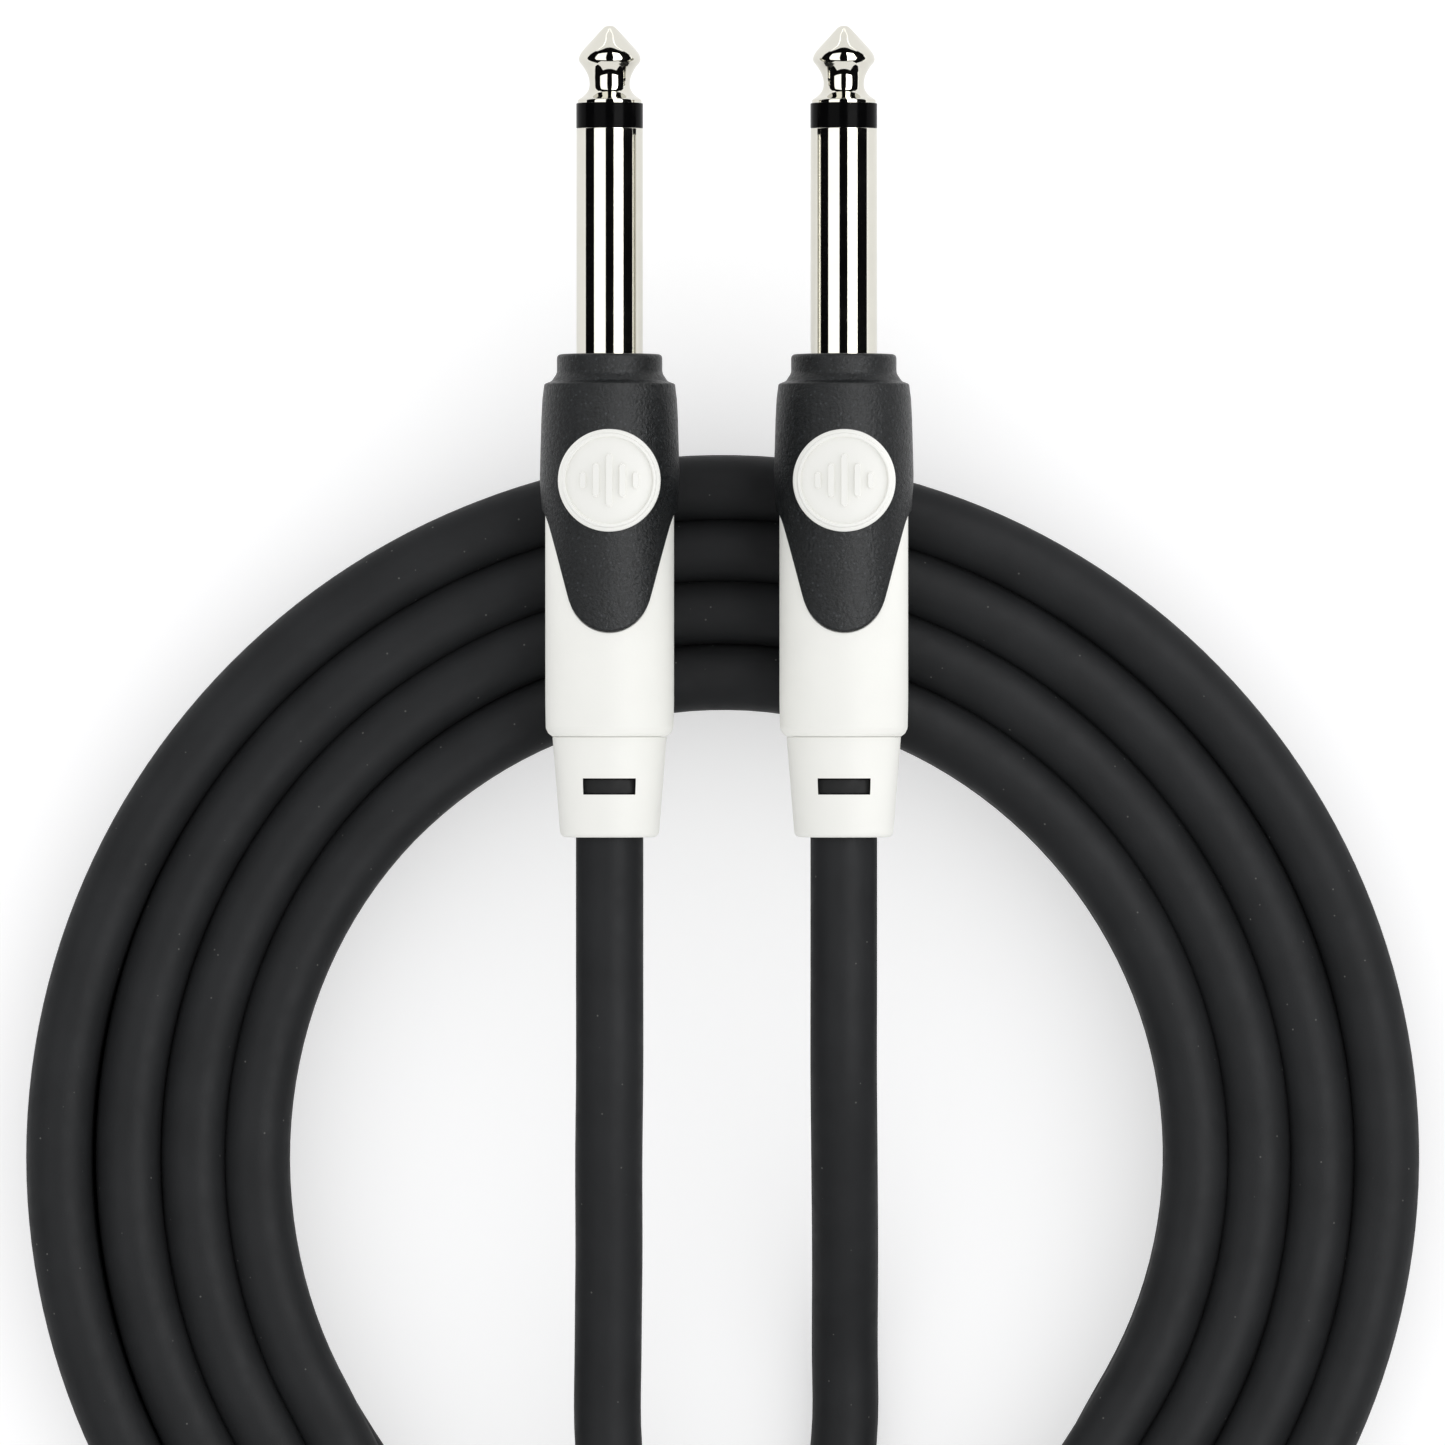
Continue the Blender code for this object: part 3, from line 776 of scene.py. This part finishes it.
def collar_outline():
    """The collar: a spigot that sits in the shell, a tapered wall and a rounded tail."""
    taper = (COLLAR_R - COLLAR_TAIL_R) / (COLLAR_END - COLLAR_START)
    spigot = [(SPIGOT_START, COLLAR_BORE_R), (SPIGOT_START, SPIGOT_R, 0.2), (COLLAR_START, SPIGOT_R)]
    wall = [(COLLAR_START, COLLAR_R, 0.1)]
    wall += [(t, COLLAR_R - taper * (t - COLLAR_START)) for t in (WINDOW_START, WINDOW_END)]
    tail = [(COLLAR_END, COLLAR_TAIL_R, 0.8), (COLLAR_END, CORD_HOLE_R, 0.2)]
    bore = [(CORD_HOLE_START, CORD_HOLE_R), (CORD_HOLE_START, COLLAR_BORE_R)]
    bore += [(WINDOW_END, COLLAR_BORE_R), (WINDOW_START, COLLAR_BORE_R)]
    return rounded(spigot + wall + tail + bore)


def window_phases():
    """The phases, with both edges of the two windows among them, and the numbers in the windows."""
    window, wall = WINDOW_COLUMNS, WALL_COLUMNS
    phases = [-WINDOW_EDGE + 2 * WINDOW_EDGE * i / window for i in range(window)]
    phases += [WINDOW_EDGE + (180 - 2 * WINDOW_EDGE) * i / wall for i in range(wall)]
    phases += [phase + 180 for phase in phases]
    cells = {start + i for start in (0, window + wall) for i in range(window)}
    return phases, cells


def bore_phase(phase):
    """Where a phase of the outside meets the bore, so that the window's sides run straight down."""
    away = (phase + 90) % 180 - 90
    if abs(away) <= WINDOW_EDGE:
        moved = degrees(asin(min(1.0, WINDOW_R / COLLAR_BORE_R * abs(sin(radians(away))))))
    else:
        share = (90 - WINDOW_BORE_EDGE) / (90 - WINDOW_EDGE)
        moved = WINDOW_BORE_EDGE + (abs(away) - WINDOW_EDGE) * share
    return phase - away + copysign(moved, away)


def collar_mesh():
    """The collar, with a window cut through its wall above and below."""
    outline = collar_outline()
    outer_row = next(k for k, spot in enumerate(outline) if spot[0] == WINDOW_START)
    inner_row = next(k for k, spot in enumerate(outline) if spot == (WINDOW_END, COLLAR_BORE_R))
    phases, window = window_phases()
    open_cells = {(row, i) for row in (outer_row, inner_row) for i in window}
    shape, rows = turn_outline(lambda phase: outline, phases, open_cells)
    outer_start, outer_end = rows[outer_row], rows[outer_row + 1]
    inner_end, inner_start = rows[inner_row], rows[(inner_row + 1) % len(rows)]
    for i, phase in enumerate(phases):
        inner_end[i].co = on_plug(WINDOW_END, COLLAR_BORE_R, bore_phase(phase))
        inner_start[i].co = on_plug(WINDOW_START, COLLAR_BORE_R, bore_phase(phase))

    def add_side(i):
        shape.faces.new((outer_start[i], outer_end[i], inner_end[i], inner_start[i]))

    sides = len(phases)
    for i in window:
        j = (i + 1) % sides
        shape.faces.new((outer_start[i], outer_start[j], inner_start[j], inner_start[i]))
        shape.faces.new((outer_end[i], outer_end[j], inner_end[j], inner_end[i]))
        if (i - 1) % sides not in window:
            add_side(i)
        if j not in window:
            add_side(j)
    return finish_mesh(shape, 35)


def bush_outline(phase):
    """The bush: a tube with a crowned boss that fills each window, and a low foot between them."""
    side = abs(sin(radians(phase)))
    drop = BOSS_CROWN_R - BOSS_HEIGHT
    crown_r = sqrt(BOSS_CROWN_R**2 - (drop * side) ** 2) - drop * abs(cos(radians(phase)))
    r = crown_r if side < BOSS_REACH else BUSH_R + BOSS_FOOT
    front = [(BUSH_START, BUSH_BORE_R), (BUSH_START, BUSH_R)]
    boss = [(BOSS_START, BUSH_R), (BOSS_START, r), (BOSS_END, r), (BOSS_END, BUSH_R)]
    return front + boss + [(BUSH_END, BUSH_R), (BUSH_END, BUSH_BORE_R)]


def crown(x, s):
    """Height of the badge's top: rounder across the plug than along it."""
    arch = BADGE_CREST - BADGE_CROWN_R + sqrt(BADGE_CROWN_R**2 - x * x)
    return arch - BADGE_FALL * (s / BADGE_R) ** 2


def circle_outline(r, sides):
    turns = [2 * pi * i / sides for i in range(sides)]
    return [(r * sin(turn), r * cos(turn)) for turn in turns]


def badge_mesh():
    """A coin that is crowned above and hollow below, with a rounded edge."""
    top_steps = 14
    edge_steps = 5
    shape = bmesh.new()

    def add_vertex(x, s, z):
        return shape.verts.new(Vector((x, -BADGE_T - s, z)) * MM)

    rings = [(BADGE_R * k / top_steps, 0.0) for k in range(1, top_steps)]
    for k in range(1, edge_steps + 1):
        turn = pi / 2 * k / edge_steps
        rings.append((BADGE_R - BADGE_EDGE * (1 - sin(turn)), BADGE_EDGE * (1 - cos(turn))))
    rows = []
    for r, drop in rings:
        rows.append([add_vertex(x, s, crown(x, s) - drop) for x, s in circle_outline(r, FINE)])
    rim = []
    for x, s in circle_outline(BADGE_R, FINE):
        rim.append(add_vertex(x, s, sqrt(BADGE_UNDERSIDE_R**2 - x * x) - BADGE_SINK))
    rows.append(rim)
    top = add_vertex(0, 0, crown(0, 0))
    under = add_vertex(0, 0, BADGE_UNDERSIDE_R - BADGE_SINK)
    for i in range(FINE):
        j = (i + 1) % FINE
        shape.faces.new((top, rows[0][i], rows[0][j]))
        shape.faces.new((under, rim[i], rim[j]))
        for low, high in zip(rows, rows[1:]):
            shape.faces.new((low[i], low[j], high[j], high[i]))
    return finish_mesh(shape)


def add_raised_shape(shape, outline, inner=None):
    """Raise a flat outline, or the band between two outlines, out of the badge's crown."""

    def ring(points, lift):
        return [shape.verts.new(Vector((x, -BADGE_T - s, crown(x, s) + lift)) * MM) for x, s in points]

    def shrunk(points, by):
        middle = Vector((sum(p[0] for p in points), sum(p[1] for p in points))) / len(points)
        return [tuple(Vector(p) - (Vector(p) - middle).normalized() * by) for p in points]

    loops = [ring(outline, -MARK_ROOT), ring(outline, MARK_SHOULDER)]
    loops.append(ring(shrunk(outline, MARK_SLOPE), MARK_HEIGHT))
    if inner is not None:
        loops.append(ring(shrunk(inner, -MARK_SLOPE), MARK_HEIGHT))
        loops += [ring(inner, MARK_SHOULDER), ring(inner, -MARK_ROOT), loops[0]]
    count = len(outline)
    for low, high in zip(loops, loops[1:]):
        for i in range(count):
            j = (i + 1) % count
            shape.faces.new((low[i], low[j], high[j], high[i]))
    if inner is None:
        shape.faces.new(loops[2])
        shape.faces.new(loops[0])


def bar_outline(x, half_length):
    """A bar with round ends, along the plug."""
    steps = 8
    points = []
    for end in (0, 180):
        middle = (half_length - BAR_HALF_WIDTH) * (1 if end == 0 else -1)
        for i in range(steps + 1):
            turn = radians(end + 180 * i / steps)
            points.append((x + BAR_HALF_WIDTH * cos(turn), middle + BAR_HALF_WIDTH * sin(turn)))
    return points


def badge_marks_mesh():
    """A plain mark of a sound level: five bars inside a thin ring."""
    shape = bmesh.new()
    outer, inner = (circle_outline(r, MARK_SIDES) for r in (MARK_OUTER_R, MARK_INNER_R))
    add_raised_shape(shape, outer, inner)
    for k, half_length in enumerate(BAR_HALF_LENGTHS):
        add_raised_shape(shape, bar_outline((k - 2) * BAR_PITCH, half_length))
    return finish_mesh(shape)


def add_plug(side, looks):
    """The visible pieces of one plug, placed by its tip in the frame."""
    low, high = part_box(f"{side}_tip")
    place = ((low.x + high.x) / 2 / MM, high.y / MM, (low.z + high.z) / 2 / MM)
    tail = f"{side}_tail"

    def add(piece, mesh, look, node, body=ROOT):
        obj = add_object(f"{side}_{piece}", mesh, looks[look], body, place)
        if node:
            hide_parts(f"{side}_{node}")

    add("tip_contact", turned_mesh(tip_outline(), 50), "nickel", "tip")
    add("contact_ring", turned_mesh(ring_outline()), "gloss", "tip_insulator")
    add("shank", turned_mesh(sleeve_outline()), "nickel", "sleeve")
    add("front_cap", turned_mesh(cap_outline, 45), "soft", "cap")
    add("housing", turned_mesh(shell_outline, 45), "white", "body_shell")
    add("badge_disc", badge_mesh(), "badge", "badge")
    add("badge_marks", badge_marks_mesh(), "badge", None)
    add("tail_collar", collar_mesh(), "white", "collar", tail)
    bush = turned_mesh(bush_outline, 35, BUSH_SIDES)
    add("cord_bush", bush, "bush", "grommet", tail)


def dress_inner_pieces(looks):
    """Give the pieces inside the housings, which keep their CAD shape, their own materials."""
    inner = {
        "inner_insulator": "natural",
        "rear_insulator": "gloss",
        "tip_lug": "steel",
        "ground_clamp": "steel",
        "centre_conductor": "copper",
        "core_insulation": "natural",
        "shield_pigtail": "copper",
        "jacket_end": "jacket",
    }
    for side in ("left", "right"):
        for piece, look in inner.items():
            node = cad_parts[f"{side}_{piece}"]
            node.data.materials.clear()
            node.data.materials.append(looks[look])


# Tie


def strap_route():
    """The strap's middle line in the plane x = 0, from its hidden end round to its free end."""
    low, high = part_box("tie")
    near = high.y / MM - TIE_THICKNESS / 2
    far = low.y / MM + TIE_THICKNESS / 2
    bottom = TIE_THICKNESS / 2
    top = high.z / MM - TIE_THICKNESS / 2
    lap = top + TIE_THICKNESS
    loop = [(near - 6.5, top), (far, top, STRAP_CORNER), (far, bottom, STRAP_CORNER)]
    loop += [(near, bottom, STRAP_CORNER), (near, lap, STRAP_CORNER)]
    free_end = [(near - 7.5, lap, 3.0), (near - 19.5, lap + 0.05, 2.0), (near - 21.0, lap + 0.25)]
    return rounded(loop + free_end, 8)


def strap_section():
    """Nearly a rectangle, with soft edges: points (x, height over the middle line)."""
    section = []
    for k in range(STRAP_SIDES):
        turn = 2 * pi * (k + 0.5) / STRAP_SIDES
        x = STRAP_HALF_WIDTH * copysign(abs(cos(turn)) ** 0.15, cos(turn))
        up = STRAP_HALF_THICKNESS * copysign(abs(sin(turn)) ** 0.5, sin(turn))
        section.append((x, up))
    return section


def strap_mesh():
    """A band with the strap's section along its route."""
    route = [Vector((y, z)) for y, z in strap_route()]
    dense = [route[0]]
    for a, b in zip(route, route[1:]):
        count = max(1, ceil((b - a).length / STRAP_STEP))
        dense += [a.lerp(b, k / count) for k in range(1, count + 1)]
    section = strap_section()
    shape = bmesh.new()
    rings = []
    for k, spot in enumerate(dense):
        ahead = dense[min(k + 1, len(dense) - 1)]
        back = dense[max(k - 1, 0)]
        along = (ahead - back).normalized()
        outward = Vector((-along.y, along.x))
        ring = []
        for x, up in section:
            point = spot + outward * up
            ring.append(shape.verts.new(Vector((x, point.x, point.y)) * MM))
        rings.append(ring)
    for low, high in zip(rings, rings[1:]):
        for i in range(STRAP_SIDES):
            j = (i + 1) % STRAP_SIDES
            shape.faces.new((low[i], low[j], high[j], high[i]))
    shape.faces.new(rings[0])
    shape.faces.new(rings[-1])
    return finish_mesh(shape, 50)


def add_tie(material):
    strap = add_object("cable_strap", strap_mesh(), material)
    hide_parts("tie")


# Floor and light


def add_floor():
    """A plain pale floor that glows a little, so that the shadows stay faint."""
    shape = bmesh.new()
    half = FLOOR_HALF_WIDTH
    corners = [(-half, -half, 0), (half, -half, 0), (half, half, 0), (-half, half, 0)]
    shape.faces.new([shape.verts.new(corner) for corner in corners])
    mesh = bpy.data.meshes.new("floor")
    shape.to_mesh(mesh)
    shape.free()
    material = new_material("floor", (FLOOR_TONE, FLOOR_TONE, FLOOR_TONE), 0.9)
    set_specular(material, 0.0)
    shader_of(material).inputs["Emission Color"].default_value = (1.0, 1.0, 1.0, 1.0)
    shader_of(material).inputs["Emission Strength"].default_value = FLOOR_GLOW
    mesh.materials.append(material)
    floor = new_object("floor", mesh)


def add_softbox(name, centre, target, size, radiance):
    """An area light that only reflections see."""
    data = bpy.data.lights.new(name, "AREA")
    data.shape = "RECTANGLE"
    data.size, data.size_y = size
    data.energy = radiance * pi * size[0] * size[1]
    light = new_object(name, data)
    light.location = centre
    light.rotation_euler = (Vector(target) - Vector(centre)).to_track_quat("-Z", "Y").to_euler()
    light.visible_camera = False
    light.visible_diffuse = False


def add_room():
    """A pale room that lights matt surfaces, a little more from the right, and hardly reflects."""
    world = bpy.data.worlds.new("room")
    world.use_nodes = True
    place = add_node(world, "ShaderNodeTexCoord")
    axes = add_node(world, "ShaderNodeSeparateXYZ")
    link(world, place.outputs["Generated"], axes.inputs[0])
    upward = add_node(world, "ShaderNodeMapRange", To_Min=ROOM_RADIANCE, To_Max=CEILING_RADIANCE)
    link(world, axes.outputs["Z"], upward.inputs["Value"])
    sideways = add_node(world, "ShaderNodeMapRange", From_Min=-1, From_Max=1)
    sideways.inputs["To Min"].default_value = 1 - SIDE_SHARE
    sideways.inputs["To Max"].default_value = 1 + SIDE_SHARE
    link(world, axes.outputs["X"], sideways.inputs["Value"])
    strength = add_node(world, "ShaderNodeMath")
    strength.operation = "MULTIPLY"
    link(world, upward.outputs["Result"], strength.inputs[0])
    link(world, sideways.outputs["Result"], strength.inputs[1])
    pale = world.node_tree.nodes["Background"]
    pale.inputs["Color"].default_value = (*ROOM_TINT, 1.0)
    link(world, strength.outputs[0], pale.inputs["Strength"])
    dim = add_node(world, "ShaderNodeBackground", Color=(*DIM_TINT, 1.0), Strength=DIM_RADIANCE)
    ray = add_node(world, "ShaderNodeLightPath")
    mix = add_node(world, "ShaderNodeMixShader")
    link(world, ray.outputs["Is Glossy Ray"], mix.inputs[0])
    link(world, pale.outputs[0], mix.inputs[1])
    link(world, dim.outputs[0], mix.inputs[2])
    link(world, mix.outputs[0], world.node_tree.nodes["World Output"].inputs["Surface"])
    bpy.context.scene.world = world


def add_light():
    """Soft light with the look of a light tent.

    Two bright boxes lie left and right of a dark strip straight above the plugs, the right one the
    brighter. Low cards stand ahead, behind and at the right.
    """
    back, front = (LIGHT_HEIGHT * tan(radians(angle)) for angle in (BACK_EDGE, FRONT_EDGE))
    boxes = (
        ("softbox_left", -1, LEFT_EDGE, LEFT_RADIANCE),
        ("softbox_right", 1, RIGHT_EDGE, RIGHT_RADIANCE),
    )
    for name, side, edge, radiance in boxes:
        near, far = (LIGHT_HEIGHT * tan(radians(angle)) for angle in (DARK_STRIP_EDGE, edge))
        centre = Vector((side * (near + far) / 2, (back + front) / 2, LIGHT_HEIGHT))
        add_softbox(name, centre, centre - Vector((0, 0, 1)), (far - near, front - back), radiance)
    for name, place, size in CARDS:
        add_softbox(name, place, (0, 0, place[2]), size, CARD_RADIANCE)
    add_room()
    bpy.context.scene.view_settings.view_transform = "Standard"


def main():
    add_camera()
    looks = {
        "jacket": jacket_material(),
        "nickel": nickel_material(),
        "gloss": gloss_black_material(),
        "soft": soft_touch_material(),
        "white": white_material(),
        "badge": white_material("badge_plastic", (0.885, 0.885, 0.845)),
        "bush": bush_material(),
        "natural": natural_plastic_material(),
        "steel": tinned_steel_material(),
        "copper": copper_material(),
        "strap": strap_material(),
    }
    add_cord(looks["jacket"])
    for side in ("left", "right"):
        add_plug(side, looks)
    dress_inner_pieces(looks)
    add_tie(looks["strap"])
    add_floor()
    add_light()


main()
